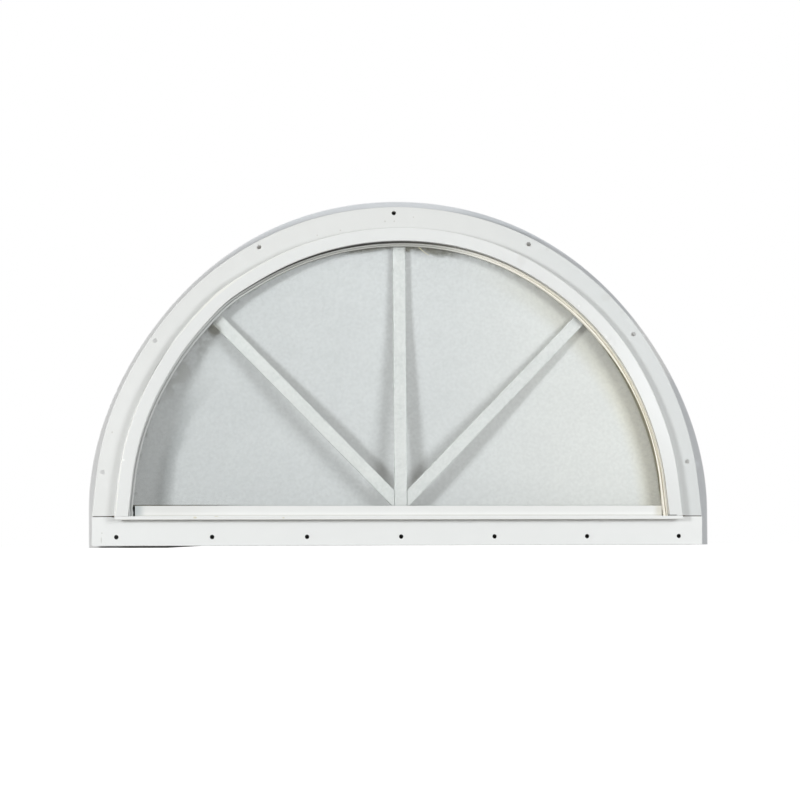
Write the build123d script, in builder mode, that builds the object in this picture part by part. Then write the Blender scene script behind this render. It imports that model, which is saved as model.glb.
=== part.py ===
from build123d import *
import math
import os

# Half-round shed window with a screw flange, in millimetres.
# Seen from outside, +X is right and +Z is up, and the outside faces -Y.
# The origin is the arch's centre on the back of the flange, where the wall's face lies.

# Frame extrusions
body_radius = 304.8
flange_width = 23.5
metal_thickness = 1.5
face_width = 14.3
face_raise = 10.0
rear_depth = 7.5
end_angle = 6.0
face_round = 0.8
flange_round = 0.5

# Sill
sill_drop = 5.2
sill_flange_drop = 31.3
nose_height = 4.0
nose_stand = 0.8
nose_round = 0.6
leg_height = 11.0
leg_round = 0.5
leg_end_gap = 0.8
flange_gap = 0.6

# Screw holes
hole_diameter = 4.8
arch_hole_inset = 7.5
arch_hole_count = 7
arch_hole_angle = 27.2
arch_hole_turn = 1.1
sill_hole_inset = 9.2
sill_hole_count = 7

# Glass and its gasket
glass_thickness = 3.0
glass_inset = 10.5
glass_fit = 0.2
gasket_flap = 2.2
gasket_web = 2.5
gasket_show = 5.5
gasket_rear_show = 3.0
gasket_fit = 0.3
gasket_hide = 1.5
rib_count = 2
rib_height = 0.9
rib_slope = 0.7
rib_margin = 0.3

# Glazing bars
bar_width = 13.4
bar_depth = 4.8
bar_wall = 0.9
bar_round = 0.8
bar_gap = 0.4
bar_angles = {"left_bar": 134.8, "vertical_bar": 90.3, "right_bar": 45.8}

# Depths, from the front face to the back edge
flange_front = -metal_thickness
face_front = flange_front - face_raise
nose_front = face_front - nose_stand
glass_front = face_front + glass_inset
glass_back = glass_front + glass_thickness
pocket_front = glass_front - gasket_flap
pocket_back = glass_back + gasket_flap

# Radii about the arch's centre
flange_radius = body_radius + flange_width
body_inner = body_radius - metal_thickness
face_inner = body_radius - face_width
gasket_outer = body_inner - gasket_fit
glass_radius = gasket_outer - gasket_web - glass_fit
sight_radius = face_inner - gasket_show
rear_sight_radius = face_inner - gasket_rear_show
bar_reach = rear_sight_radius - gasket_fit
hole_radius = flange_radius - arch_hole_inset
sill_hole_pitch = 2 * body_radius / (sill_hole_count - 1)

# Heights
ledge = -sill_drop
ledge_under = ledge - metal_thickness
nose_bottom = ledge - nose_height
sill_bottom = ledge - sill_flange_drop
leg_top = ledge + leg_height
glass_bottom = ledge + gasket_web

# The bend stops short of the ends, which run on straight and lean out to the sill
foot_plane = Plane.XY.rotated((0, -end_angle, 0))

os.makedirs("parts", exist_ok=True)


def foot_reach(radius, height):
    """Distance from the middle, at a height in the straight ends, of a line bent to a radius."""
    lean = math.radians(end_angle)
    return (radius - height * math.sin(lean)) / math.cos(lean)


def carry_round_arch(profile):
    """Carry a profile on the foot plane round the arch and straight down to the sill's ledge."""
    revolve(profile, axis=-Axis.Y, revolution_arc=90 - end_angle)
    extrude(profile, amount=-body_radius / 2)
    split(bisect_by=Plane.XY.offset(ledge), keep=Keep.TOP)
    mirror(about=Plane.YZ)


# Half-lengths of what lies along the sill, set by the arch's straight ends
sill_half = foot_reach(flange_radius, ledge)
ledge_half = foot_reach(body_radius, ledge)
leg_half = foot_reach(sight_radius, leg_top) - leg_end_gap
web_half = foot_reach(gasket_outer - gasket_web, glass_bottom) - gasket_fit

# Arch frame: flange, hollow raised face, glazing pocket and the leg that lines the wall's opening
with BuildPart() as arch_frame:
    with BuildSketch(foot_plane, mode=Mode.PRIVATE) as arch_profile:
        with BuildLine():
            Polyline(
                (flange_radius, 0),
                (flange_radius, flange_front),
                (body_radius, flange_front),
                (body_radius, face_front),
                (face_inner, face_front),
                (face_inner, pocket_front),
                (body_inner, pocket_front),
                (body_inner, pocket_back),
                (face_inner, pocket_back),
                (face_inner, pocket_back + metal_thickness),
                (body_inner, pocket_back + metal_thickness),
                (body_inner, rear_depth),
                (body_radius, rear_depth),
                (body_radius, 0),
                close=True,
            )
        make_face()
        fillet(arch_profile.vertices().group_by(Axis.Y)[0], radius=face_round)
        flange_corner = arch_profile.vertices().group_by(Axis.X)[-1].sort_by(Axis.Y)[0]
        fillet(flange_corner, radius=flange_round)
        with Locations((face_inner + metal_thickness, face_front + metal_thickness)):
            Rectangle(
                face_width - 2 * metal_thickness,
                pocket_front - face_front - 2 * metal_thickness,
                align=Align.MIN,
                mode=Mode.SUBTRACT,
            )
    carry_round_arch(arch_profile.sketch)
    with BuildSketch(Plane.XZ):
        arch_hole_span = (arch_hole_count - 1) * arch_hole_angle
        first_hole = 90 + arch_hole_turn - arch_hole_span / 2
        with PolarLocations(hole_radius, arch_hole_count, first_hole, arch_hole_span, endpoint=True):
            Circle(hole_diameter / 2)
    extrude(amount=2 * metal_thickness, both=True, mode=Mode.SUBTRACT)

# Sill frame: flange, ledge with a drip nose, and the two legs of the glazing pocket
with BuildPart() as sill_frame:
    with BuildSketch(Plane.XZ):
        with Locations((0, sill_bottom)):
            Rectangle(
                2 * sill_half,
                sill_flange_drop - flange_gap,
                align=(Align.CENTER, Align.MIN),
            )
        with Locations((0, sill_bottom + sill_hole_inset)):
            with GridLocations(sill_hole_pitch, 0, sill_hole_count, 1):
                Circle(hole_diameter / 2, mode=Mode.SUBTRACT)
    extrude(amount=metal_thickness)
    with BuildSketch(Plane.YZ) as ledge_profile:
        with BuildLine():
            Polyline(
                (nose_front, ledge),
                (nose_front, nose_bottom),
                (nose_front + metal_thickness, nose_bottom),
                (nose_front + metal_thickness, ledge_under),
                (rear_depth, ledge_under),
                (rear_depth, ledge),
                close=True,
            )
        make_face()
        fillet(ledge_profile.vertices().group_by(Axis.X)[0], radius=nose_round)
    extrude(amount=ledge_half, both=True)
    for leg_front in (pocket_front - metal_thickness, pocket_back):
        with BuildSketch(Plane.YZ) as leg_profile:
            with Locations((leg_front, ledge)):
                Rectangle(metal_thickness, leg_height, align=Align.MIN)
            fillet(leg_profile.vertices().group_by(Axis.Y)[-1], radius=leg_round)
        extrude(amount=leg_half, both=True)

# Glass pane
with BuildPart() as glass_pane:
    with BuildSketch(Plane.XZ.offset(-glass_back)):
        with BuildLine():
            rim = CenterArc((0, 0), glass_radius, end_angle, 90 - end_angle)
            Polyline(rim @ 0, (foot_reach(glass_radius, glass_bottom), glass_bottom), (0, glass_bottom))
            mirror(about=Plane.YZ)
        make_face()
    extrude(amount=glass_thickness)

# Arch gasket: a channel round the glass's rim, with ribs on the lip that shows in front
with BuildPart() as arch_gasket:
    with BuildSketch(foot_plane, mode=Mode.PRIVATE) as gasket_profile:
        with BuildLine():
            rib_width = (gasket_show - rib_margin) / rib_count
            for rib in range(rib_count):
                rib_start = sight_radius + rib * rib_width
                Polyline(
                    (rib_start, pocket_front),
                    (rib_start + rib_slope, pocket_front - rib_height),
                    (rib_start + rib_width - rib_slope, pocket_front - rib_height),
                    (rib_start + rib_width, pocket_front),
                )
            Polyline(
                (sight_radius + rib_count * rib_width, pocket_front),
                (gasket_outer, pocket_front),
                (gasket_outer, pocket_back),
                (rear_sight_radius, pocket_back),
                (rear_sight_radius, glass_back),
                (gasket_outer - gasket_web, glass_back),
                (gasket_outer - gasket_web, glass_front),
                (sight_radius, glass_front),
                (sight_radius, pocket_front),
            )
        make_face()
    carry_round_arch(gasket_profile.sketch)

# Sill gasket: the same channel along the glass's foot, hidden between the sill's legs,
# with its web run on under the glass's corners
with BuildPart() as sill_gasket:
    with BuildSketch(Plane.YZ):
        with Locations((pocket_front, ledge)):
            Rectangle(pocket_back - pocket_front, leg_height - gasket_hide, align=Align.MIN)
        with Locations((glass_front, glass_bottom)):
            Rectangle(glass_thickness, leg_height, align=Align.MIN, mode=Mode.SUBTRACT)
    extrude(amount=leg_half, both=True)
    with BuildSketch(Plane.YZ):
        with Locations((glass_front, ledge)):
            Rectangle(glass_thickness, gasket_web, align=Align.MIN)
    extrude(amount=web_half, both=True)

pieces = {
    "arch_frame": arch_frame,
    "sill_frame": sill_frame,
    "glass_pane": glass_pane,
    "arch_gasket": arch_gasket,
    "sill_gasket": sill_gasket,
}

# Glazing bars: flat tubes on the glass's inner face that fan out from the middle of the sill
for bar_name, bar_angle in bar_angles.items():
    bar_direction = Vector(1, 0, 0).rotate(-Axis.Y, bar_angle)
    with BuildPart() as bar:
        with BuildSketch(Plane.XZ.offset(-glass_back)):
            with Locations((0, leg_top)):
                Rectangle(
                    2 * body_radius,
                    bar_width,
                    rotation=bar_angle,
                    align=(Align.MIN, Align.CENTER),
                )
            Circle(bar_reach, mode=Mode.INTERSECT)
            with Locations((0, leg_top)):
                Rectangle(
                    2 * body_radius,
                    2 * body_radius,
                    align=(Align.CENTER, Align.MAX),
                    mode=Mode.SUBTRACT,
                )
            if bar_name != "vertical_bar":
                Rectangle(bar_width + 2 * bar_gap, 2 * body_radius, mode=Mode.SUBTRACT)
        extrude(amount=-bar_depth)
        fillet(bar.edges().filter_by(Axis((0, 0, 0), bar_direction)), radius=bar_round)
        with BuildSketch(Plane.XZ.offset(-glass_back - bar_wall)):
            with Locations((0, leg_top)):
                Rectangle(
                    4 * body_radius,
                    bar_width - 2 * bar_wall,
                    rotation=bar_angle,
                )
        extrude(amount=-(bar_depth - 2 * bar_wall), mode=Mode.SUBTRACT)
    pieces[bar_name] = bar

for name, piece in pieces.items():
    piece.part.label = name
    export_step(piece.part, f"parts/{name}.step")
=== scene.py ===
import math

import bpy
import numpy as np
from mathutils import Matrix, Vector


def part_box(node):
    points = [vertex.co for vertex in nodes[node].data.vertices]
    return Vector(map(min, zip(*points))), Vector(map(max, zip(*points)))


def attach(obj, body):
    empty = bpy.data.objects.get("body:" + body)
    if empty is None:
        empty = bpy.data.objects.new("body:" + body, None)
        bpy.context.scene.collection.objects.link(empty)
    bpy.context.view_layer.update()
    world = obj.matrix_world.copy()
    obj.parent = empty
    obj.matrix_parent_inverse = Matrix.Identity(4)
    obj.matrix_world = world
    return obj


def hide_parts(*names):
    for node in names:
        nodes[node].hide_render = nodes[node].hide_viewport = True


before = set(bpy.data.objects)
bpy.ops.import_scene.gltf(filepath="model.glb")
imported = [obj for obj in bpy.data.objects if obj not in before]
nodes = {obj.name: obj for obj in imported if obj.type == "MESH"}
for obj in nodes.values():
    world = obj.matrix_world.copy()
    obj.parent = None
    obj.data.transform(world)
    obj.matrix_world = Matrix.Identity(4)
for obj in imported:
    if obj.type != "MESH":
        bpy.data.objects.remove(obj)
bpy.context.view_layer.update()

# Half-round shed window, in metres. +X is right and +Z up as seen from outside, and the outside faces -Y.
MM = 0.001
BODY_RADIUS = 304.8 * MM
METAL = 1.5 * MM
FACE_WIDTH = 14.3 * MM
FACE_INNER = BODY_RADIUS - FACE_WIDTH
FACE_ROUND = 0.8 * MM
FLANGE_ROUND = 0.5 * MM
INNER_ROUND = 0.3 * MM
ROUND_SUPPORT = 0.25 * MM
END_LEAN = math.radians(6.0)
SHARP_ANGLE = math.radians(35)

# Depths, heights and radii, most of them read from the solids' boxes
arch_low, arch_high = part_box("arch_frame")
gasket_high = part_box("arch_gasket")[1]
glass_low, glass_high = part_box("glass_pane")
sill_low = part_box("sill_frame")[0]
FLANGE_WIDTH = arch_high.z - BODY_RADIUS
FACE_FRONT = arch_low.y
REAR_EDGE = arch_high.y
LEDGE = arch_low.z
GLASS_FRONT = glass_low.y
GLASS_BACK = glass_high.y
POCKET_FRONT = -3.2 * MM
POCKET_BACK = gasket_high.y
GASKET_OUTER = gasket_high.z
GASKET_WEB = 2.5 * MM
SIGHT_RADIUS = 285.0 * MM
REAR_SIGHT_RADIUS = 287.5 * MM
LEG_TOP = LEDGE + 11.0 * MM

# Screw holes in the arch's flange, and the tools that drill them and cut the feet
HOLE_COUNT = 7
HOLE_STEP = math.radians(27.2)
HOLE_TURN = math.radians(1.1)
HOLE_CIRCLE = arch_high.z - 7.5 * MM
HOLE_RADIUS = 2.4 * MM
HOLE_SHIFT = (-1.2 * MM, 0.9 * MM, 0)
DRILL_SIDES = 24
DRILL_LENGTH = 8 * METAL
SAW_SIZE = (1.0, 0.1, 0.1)

# How the bent arch strays from a true half circle: angle and spread in degrees, millimetres outwards
BEND_STRAYS = ((22, 14, -1.0), (66, 10, 0.7), (150, 9, -0.8))
FACE_STRAYS = ((130, 5, 1.6), (78, 12, 0.9))
INNER_STRAYS = ((18, 20, -0.95),)
FLANGE_STRAYS = ((142, 16, -1.3),)
LIP_STRAYS = ((175, 35, 1.4), (95, 24, -0.2))

# Where the gasket's lip loses or gains a share of its width, and how many millimetres it rises in front
LIP_SPREAD = 0.22
LIP_SQUEEZE = ((95, 24, 0.32), (16, 26, -LIP_SPREAD))
LIP_RISE = ((20, 26, 3.2),)

# Where the raised face rolls back: angle and spread in degrees, and slope
FACE_ROLL_AT = 26.0
FACE_ROLL_SPREAD = 16.0
FACE_ROLL = math.tan(math.radians(4.1))

# The gasket's ribbed lip, which lies a little further in at the right
RIB_COUNT = 2
RIB_WIDTH = 2.75 * MM
RIB_BASE = -3.1 * MM
RIB_TOP = -4.6 * MM
RIB_STEPS = 8
FLAP_FRONT = -1.9 * MM
LIP_END = SIGHT_RADIUS + (RIB_COUNT + 1) * RIB_WIDTH
LIP_SHIFT = 0.9 * MM

# The line that the profiles are carried along
BENT_STEPS = 240
STRAIGHT_STEPS = 10
FOOT_SPARE = 8 * MM


def add(tree, kind, inputs=(), **settings):
    """Add a node, set its properties, and link or set its inputs."""
    node = tree.nodes.new(kind)
    for key, value in settings.items():
        setattr(node, key, value)
    for key, value in dict(inputs).items():
        if isinstance(value, bpy.types.NodeSocket):
            tree.links.new(value, node.inputs[key])
        else:
            node.inputs[key].default_value = value
    return node


def maths(tree, operation, *values):
    return add(tree, "ShaderNodeMath", enumerate(values), operation=operation).outputs[0]


def vectors(tree, operation, *values):
    node = add(tree, "ShaderNodeVectorMath", enumerate(values), operation=operation)
    return node.outputs["Value" if operation in ("LENGTH", "DOT_PRODUCT") else "Vector"]


# Line work and meshes


def foot_reach(radius, height):
    """Distance from the middle, at a height in the arch's straight ends, of a line bent to a radius."""
    return (radius - height * math.sin(END_LEAN)) / math.cos(END_LEAN)


def arch_line(radius, bottom):
    """Points of a line round the arch from the right foot to the left one, straight at both ends."""
    bent = []
    for angle in np.linspace(END_LEAN, math.pi - END_LEAN, BENT_STEPS + 1):
        bent.append(Vector((radius * math.cos(angle), radius * math.sin(angle), 0)))
    right_foot = Vector((foot_reach(radius, bottom), bottom, 0))
    left_foot = Vector((-foot_reach(radius, bottom), bottom, 0))
    shares = [step / STRAIGHT_STEPS for step in range(STRAIGHT_STEPS)]
    right_end = [right_foot.lerp(bent[0], share) for share in shares]
    left_end = [left_foot.lerp(bent[-1], share) for share in shares]
    return right_end + bent + left_end[::-1]


def rounded(corners, steps=4):
    """Points of a closed outline with rounded corners, and beside each a point that keeps flats flat."""
    points = []
    for index, (across, depth, radius) in enumerate(corners):
        corner = Vector((across, depth))
        if radius == 0:
            points.append(corner)
            continue
        back = (Vector(corners[index - 1][:2]) - corner).normalized()
        ahead = (Vector(corners[(index + 1) % len(corners)][:2]) - corner).normalized()
        half = back.angle(ahead) / 2
        centre = corner + (back + ahead).normalized() * radius / math.sin(half)
        trim = radius / math.tan(half)
        start = corner + back * trim - centre
        end = corner + ahead * trim - centre
        points.append(corner + back * (trim + ROUND_SUPPORT))
        for step in range(steps + 1):
            points.append(centre + start.slerp(end, step / steps) * radius)
        points.append(corner + ahead * (trim + ROUND_SUPPORT))
    return points


def put_in_scene(name, data):
    thing = bpy.data.objects.new(name, data)
    bpy.context.collection.objects.link(thing)
    return thing


def drawn_line(name, points, closed=False):
    """A poly line as a curve object, for a geometry tree to read."""
    curve = bpy.data.curves.new(name, "CURVE")
    curve.dimensions = "3D"
    spline = curve.splines.new("POLY")
    spline.points.add(len(points) - 1)
    for point, place in zip(spline.points, points):
        point.co = (*place.to_3d(), 1)
    spline.use_cyclic_u = closed
    return put_in_scene(name, curve)


def run_tree(name, tree, values):
    """Run a geometry tree with its named inputs set, and keep the result as a plain mesh."""
    piece = put_in_scene(name, bpy.data.meshes.new(name))
    modifier = piece.modifiers.new(name, "NODES")
    modifier.node_group = tree
    for item in tree.interface.items_tree:
        if item.in_out == "INPUT" and item.name in values:
            modifier[item.identifier] = values[item.name]
    evaluated = piece.evaluated_get(bpy.context.evaluated_depsgraph_get())
    mesh = bpy.data.meshes.new_from_object(evaluated)
    piece.modifiers.remove(modifier)
    piece.data = mesh
    mesh.shade_smooth()
    mesh.set_sharp_from_angle(angle=SHARP_ANGLE)
    return piece


def geometry_tree(name, inputs):
    """An empty geometry tree with named inputs, its input sockets by name and its geometry output."""
    tree = bpy.data.node_groups.new(name, "GeometryNodeTree")
    for label, kind in inputs.items():
        tree.interface.new_socket(label, in_out="INPUT", socket_type=f"NodeSocket{kind}")
    tree.interface.new_socket("Geometry", in_out="OUTPUT", socket_type="NodeSocketGeometry")
    given = tree.nodes.new("NodeGroupInput").outputs
    result = tree.nodes.new("NodeGroupOutput").inputs["Geometry"]
    return tree, given, result


def bent_profile_tree():
    """A profile carried along the arch's line, drilled with a row of holes and cut level at its feet."""
    tree, given, result = geometry_tree(
        "bent profile",
        {
            "Line": "Object",
            "Profile": "Object",
            "Hole Count": "Int",
            "Hole Circle": "Float",
            "Hole Radius": "Float",
            "Hole Shift": "Vector",
            "First Hole": "Float",
            "Hole Step": "Float",
            "Foot Height": "Float",
            "Finish": "Material",
        },
    )
    line = add(tree, "GeometryNodeObjectInfo", {"Object": given["Line"]}).outputs["Geometry"]
    profile = add(tree, "GeometryNodeObjectInfo", {"Object": given["Profile"]}).outputs["Geometry"]
    upright = add(tree, "GeometryNodeSetCurveNormal", {"Curve": line}, mode="Z_UP").outputs[0]
    carried = add(
        tree,
        "GeometryNodeCurveToMesh",
        {"Curve": upright, "Profile Curve": profile, "Fill Caps": True},
    ).outputs[0]

    index = add(tree, "GeometryNodeInputIndex").outputs[0]
    turn = maths(tree, "MULTIPLY_ADD", index, given["Hole Step"], given["First Hole"])
    first_place = add(tree, "ShaderNodeCombineXYZ", {"X": given["Hole Circle"]}).outputs[0]
    place = add(
        tree,
        "ShaderNodeVectorRotate",
        {"Vector": first_place, "Angle": turn},
        rotation_type="Z_AXIS",
    ).outputs[0]
    place = vectors(tree, "ADD", place, given["Hole Shift"])
    places = add(tree, "GeometryNodePoints", {"Count": given["Hole Count"], "Position": place}).outputs[0]
    drill = add(
        tree,
        "GeometryNodeMeshCylinder",
        {"Vertices": DRILL_SIDES, "Radius": given["Hole Radius"], "Depth": DRILL_LENGTH},
    ).outputs[0]
    drills = add(tree, "GeometryNodeInstanceOnPoints", {"Points": places, "Instance": drill}).outputs[0]
    drills = add(tree, "GeometryNodeRealizeInstances", {"Geometry": drills}).outputs[0]

    saw = add(tree, "GeometryNodeMeshCube", {"Size": SAW_SIZE}).outputs[0]
    saw_height = maths(tree, "SUBTRACT", given["Foot Height"], SAW_SIZE[1] / 2)
    saw_place = add(tree, "ShaderNodeCombineXYZ", {"Y": saw_height}).outputs[0]
    saw = add(tree, "GeometryNodeTransform", {"Geometry": saw, "Translation": saw_place}).outputs[0]

    cut = add(tree, "GeometryNodeMeshBoolean", {0: carried}, operation="DIFFERENCE", solver="MANIFOLD")
    tree.links.new(saw, cut.inputs["Mesh 2"])
    tree.links.new(drills, cut.inputs["Mesh 2"])
    stood = add(
        tree,
        "GeometryNodeTransform",
        {"Geometry": cut.outputs[0], "Rotation": (math.pi / 2, 0, 0)},
    ).outputs[0]
    whole = add(tree, "GeometryNodeRealizeInstances", {"Geometry": stood}).outputs[0]
    done = add(tree, "GeometryNodeSetMaterial", {"Geometry": whole, "Material": given["Finish"]}).outputs[0]
    tree.links.new(done, result)
    return tree


def stray(angle, strays):
    """How far out of line the arch is at each angle, in metres."""
    return sum(amount * MM * np.exp(-(((angle - at) / spread) ** 2)) for at, spread, amount in strays)


def settle(piece, is_gasket):
    """Move the points of a bent piece to where the real, slightly sprung and dented arch has them."""
    mesh = piece.data
    points = np.empty(len(mesh.vertices) * 3)
    mesh.vertices.foreach_get("co", points)
    points = points.reshape(-1, 3)
    radius = np.hypot(points[:, 0], points[:, 2])
    angle = np.degrees(np.arctan2(points[:, 2], points[:, 0]))
    on_flange = np.clip((radius - BODY_RADIUS) / FLANGE_WIDTH, 0, 1)
    on_lip = np.clip((LIP_END - radius) / RIB_WIDTH, 0, 1) * (points[:, 1] < GLASS_BACK)
    on_inner = np.clip((BODY_RADIUS - radius) / FACE_WIDTH, 0, 1)
    moved = stray(angle, BEND_STRAYS)
    moved += stray(angle, FACE_STRAYS) * (1 - on_flange)
    moved += stray(angle, INNER_STRAYS) * on_inner
    moved += stray(angle, FLANGE_STRAYS) * on_flange
    moved += stray(angle, LIP_STRAYS) * on_lip * is_gasket
    squeezed = stray(angle, LIP_SQUEEZE) / MM
    moved -= squeezed * np.clip(radius - SIGHT_RADIUS, 0, RIB_COUNT * RIB_WIDTH) * on_lip * is_gasket
    rolled = np.exp(-(((angle - FACE_ROLL_AT) / FACE_ROLL_SPREAD) ** 2)) * FACE_ROLL
    at_front = points[:, 1] < FACE_FRONT + FACE_ROUND + ROUND_SUPPORT + 0.1 * MM
    points[:, 1] += at_front * rolled * np.clip(radius - FACE_INNER, 0, FACE_WIDTH)
    on_ribs = np.clip((FLAP_FRONT - points[:, 1]) / (FLAP_FRONT - RIB_TOP), 0, 1)
    points[:, 1] -= stray(angle, LIP_RISE) * on_ribs * is_gasket
    points[:, 0] += moved * points[:, 0] / radius
    points[:, 2] += moved * points[:, 2] / radius
    mesh.vertices.foreach_set("co", points.ravel())
    mesh.update()


# Shader helpers and shared effects


def colour(red, green, blue):
    return (red, green, blue, 1.0)


def mixed(tree, factor, first, second):
    """A colour mixed from two, by a mask."""
    return add(tree, "ShaderNodeMix", {0: factor, 6: first, 7: second}, data_type="RGBA").outputs[2]


def blended(tree, factor, first, second):
    """A value mixed from two, by a mask."""
    return add(tree, "ShaderNodeMix", {0: factor, 2: first, 3: second}).outputs[0]


def fade(tree, value, start, end):
    """A mask that is 0 up to start and 1 from end on."""
    inputs = {"Value": value, "From Min": start, "From Max": end}
    return add(tree, "ShaderNodeMapRange", inputs, interpolation_type="SMOOTHSTEP").outputs[0]


def noise(tree, place, scale, detail=2.0):
    inputs = {"Vector": place, "Scale": scale, "Detail": detail}
    return add(tree, "ShaderNodeTexNoise", inputs).outputs[0]


def object_place(tree):
    return add(tree, "ShaderNodeTexCoord").outputs["Object"]


def axes(tree, place):
    return add(tree, "ShaderNodeSeparateXYZ", {0: place}).outputs


def marks(tree, place, spots):
    """Where small marks lie, each given by its place and half-sizes across and up, in millimetres."""
    cover = 0.0
    for across, up, half_width, half_height in spots:
        offset = vectors(tree, "SUBTRACT", place, (across * MM, 0, up * MM))
        scaled = vectors(tree, "MULTIPLY", offset, (1 / (half_width * MM), 0, 1 / (half_height * MM)))
        spot = fade(tree, vectors(tree, "LENGTH", scaled), 1.0, 0.4)
        cover = maths(tree, "MAXIMUM", spot, cover)
    return cover


def shader_group(name, inputs, outputs):
    """A shader node group with named sockets, its input sockets by name and its outputs."""
    tree = bpy.data.node_groups.new(name, "ShaderNodeTree")
    for label, (kind, value) in inputs.items():
        socket = tree.interface.new_socket(label, in_out="INPUT", socket_type=f"NodeSocket{kind}")
        socket.default_value = value
    for label, kind in outputs.items():
        tree.interface.new_socket(label, in_out="OUTPUT", socket_type=f"NodeSocket{kind}")
    given = tree.nodes.new("NodeGroupInput").outputs
    results = tree.nodes.new("NodeGroupOutput").inputs
    return tree, given, results


def paint_tone_group():
    """Slow drift of a baked paint's tone, and the fine orange peel of its surface."""
    tree, given, results = shader_group(
        "paint tone",
        {"Place": ("Vector", (0, 0, 0)), "Peel Scale": ("Float", 420.0)},
        {"Tone": "Float", "Peel": "Float"},
    )
    slow = maths(tree, "MULTIPLY", noise(tree, given["Place"], 7.0, 3.0), 0.55)
    quick = noise(tree, given["Place"], 55.0, 3.0)
    tree.links.new(maths(tree, "MULTIPLY_ADD", quick, 0.45, slow), results["Tone"])
    tree.links.new(noise(tree, given["Place"], given["Peel Scale"], 2.0), results["Peel"])
    return tree


def specks_group():
    """Small scattered specks of dirt or chipped paint."""
    tree, given, results = shader_group(
        "specks",
        {
            "Place": ("Vector", (0, 0, 0)),
            "Scale": ("Float", 120.0),
            "Share": ("Float", 0.1),
            "Size": ("Float", 0.2),
        },
        {"Mask": "Float"},
    )
    cells = add(tree, "ShaderNodeTexVoronoi", {"Vector": given["Place"], "Scale": given["Scale"]})
    pick = add(tree, "ShaderNodeSeparateColor", {"Color": cells.outputs["Color"]}).outputs
    chosen = maths(tree, "LESS_THAN", pick[0], given["Share"])
    size = maths(tree, "MULTIPLY", given["Size"], pick[1])
    edge = maths(tree, "DIVIDE", cells.outputs["Distance"], maths(tree, "ADD", size, 0.01))
    tree.links.new(maths(tree, "MULTIPLY", chosen, fade(tree, edge, 1.0, 0.5)), results["Mask"])
    return tree


def grime_group():
    """Patchy dirt that covers a share of a surface."""
    tree, given, results = shader_group(
        "grime",
        {"Place": ("Vector", (0, 0, 0)), "Scale": ("Float", 60.0), "Cover": ("Float", 0.4)},
        {"Mask": "Float"},
    )
    cloud = noise(tree, given["Place"], given["Scale"], 6.0)
    start = maths(tree, "SUBTRACT", 0.72, maths(tree, "MULTIPLY", given["Cover"], 0.45))
    end = maths(tree, "ADD", start, 0.18)
    tree.links.new(fade(tree, cloud, start, end), results["Mask"])
    return tree


def arch_distance_group():
    """Distance from the arch's own line: radius in the bend, and across the lean in the straight ends."""
    tree, given, results = shader_group(
        "arch distance",
        {"Place": ("Vector", (0, 0, 0))},
        {"Radius": "Float"},
    )
    x, _, z = axes(tree, given["Place"])
    side = maths(tree, "ABSOLUTE", x)
    squares = maths(tree, "ADD", maths(tree, "MULTIPLY", x, x), maths(tree, "MULTIPLY", z, z))
    bent = maths(tree, "SQRT", squares)
    leaning = maths(
        tree,
        "ADD",
        maths(tree, "MULTIPLY", side, math.cos(END_LEAN)),
        maths(tree, "MULTIPLY", z, math.sin(END_LEAN)),
    )
    angle = maths(tree, "ARCTAN2", z, side)
    in_bend = maths(tree, "GREATER_THAN", angle, END_LEAN)
    tree.links.new(blended(tree, in_bend, leaning, bent), results["Radius"])
    return tree


PAINT_TONE = paint_tone_group()
SPECKS = specks_group()
GRIME = grime_group()
ARCH_DISTANCE = arch_distance_group()


def new_material(name):
    """An empty node material: the material, its tree and its surface socket."""
    material = bpy.data.materials.new(name)
    material.use_nodes = True
    material.node_tree.nodes.clear()
    surface = material.node_tree.nodes.new("ShaderNodeOutputMaterial").inputs["Surface"]
    return material, material.node_tree, surface


def use(tree, group, **inputs):
    """Place a shared effect in a material and give its output sockets."""
    named = {key.replace("_", " ").title(): value for key, value in inputs.items()}
    return add(tree, "ShaderNodeGroup", named, node_tree=group).outputs


# Colours of paint and dirt, and of painted light and shade
SILL_LIGHT = colour(0.805, 0.81, 0.80)
SILL_DARK = colour(0.77, 0.776, 0.765)
# The arch's white is greyer than the sill's: painted shade, as both are the same white paint
ARCH_LIGHT = colour(0.742, 0.749, 0.739)
ARCH_DARK = colour(0.692, 0.699, 0.689)
# Grey brown for specks, smudges and scuffs, and for painted shade in the crease, under the nose and on the
# sill's leg
SHADE_AND_DIRT = colour(0.42, 0.40, 0.36)
# Near black for dirt in joints, and for painted shade inside the pocket and behind the gasket's ribs
JOINT_DIRT_AND_SHADE = colour(0.05, 0.045, 0.04)
# Dark for dirt and specks on the bars, and for painted shade at their outer ends
BAR_DIRT_AND_SHADE = colour(0.12, 0.12, 0.10)
# Cool grey for painted shade on the right of the flange and at the left end of the sill's leg
COOL_SHADE_GREY = colour(0.37, 0.41, 0.42)
CHIPPED = colour(0.62, 0.57, 0.40)
# Painted highlight for the raised face's outer edge
EDGE_HIGHLIGHT_CREAM = colour(0.95, 0.92, 0.82)
# Painted shade, brown, for the raised face's inner edge
INNER_EDGE_SHADE_BROWN = colour(0.40, 0.32, 0.20)
EDGE_OLIVE = colour(0.12, 0.105, 0.04)
# Painted shade and painted beige reflection of the gasket, for the end of the sill's leg
LEG_END_SHADE_BEIGE = colour(0.50, 0.46, 0.34)
# Near white for nicks, and for painted light on the arch's far left, on two dents and on the sill's leg
LIGHT_AND_NICK_WHITE = colour(0.97, 0.97, 0.95)

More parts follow.
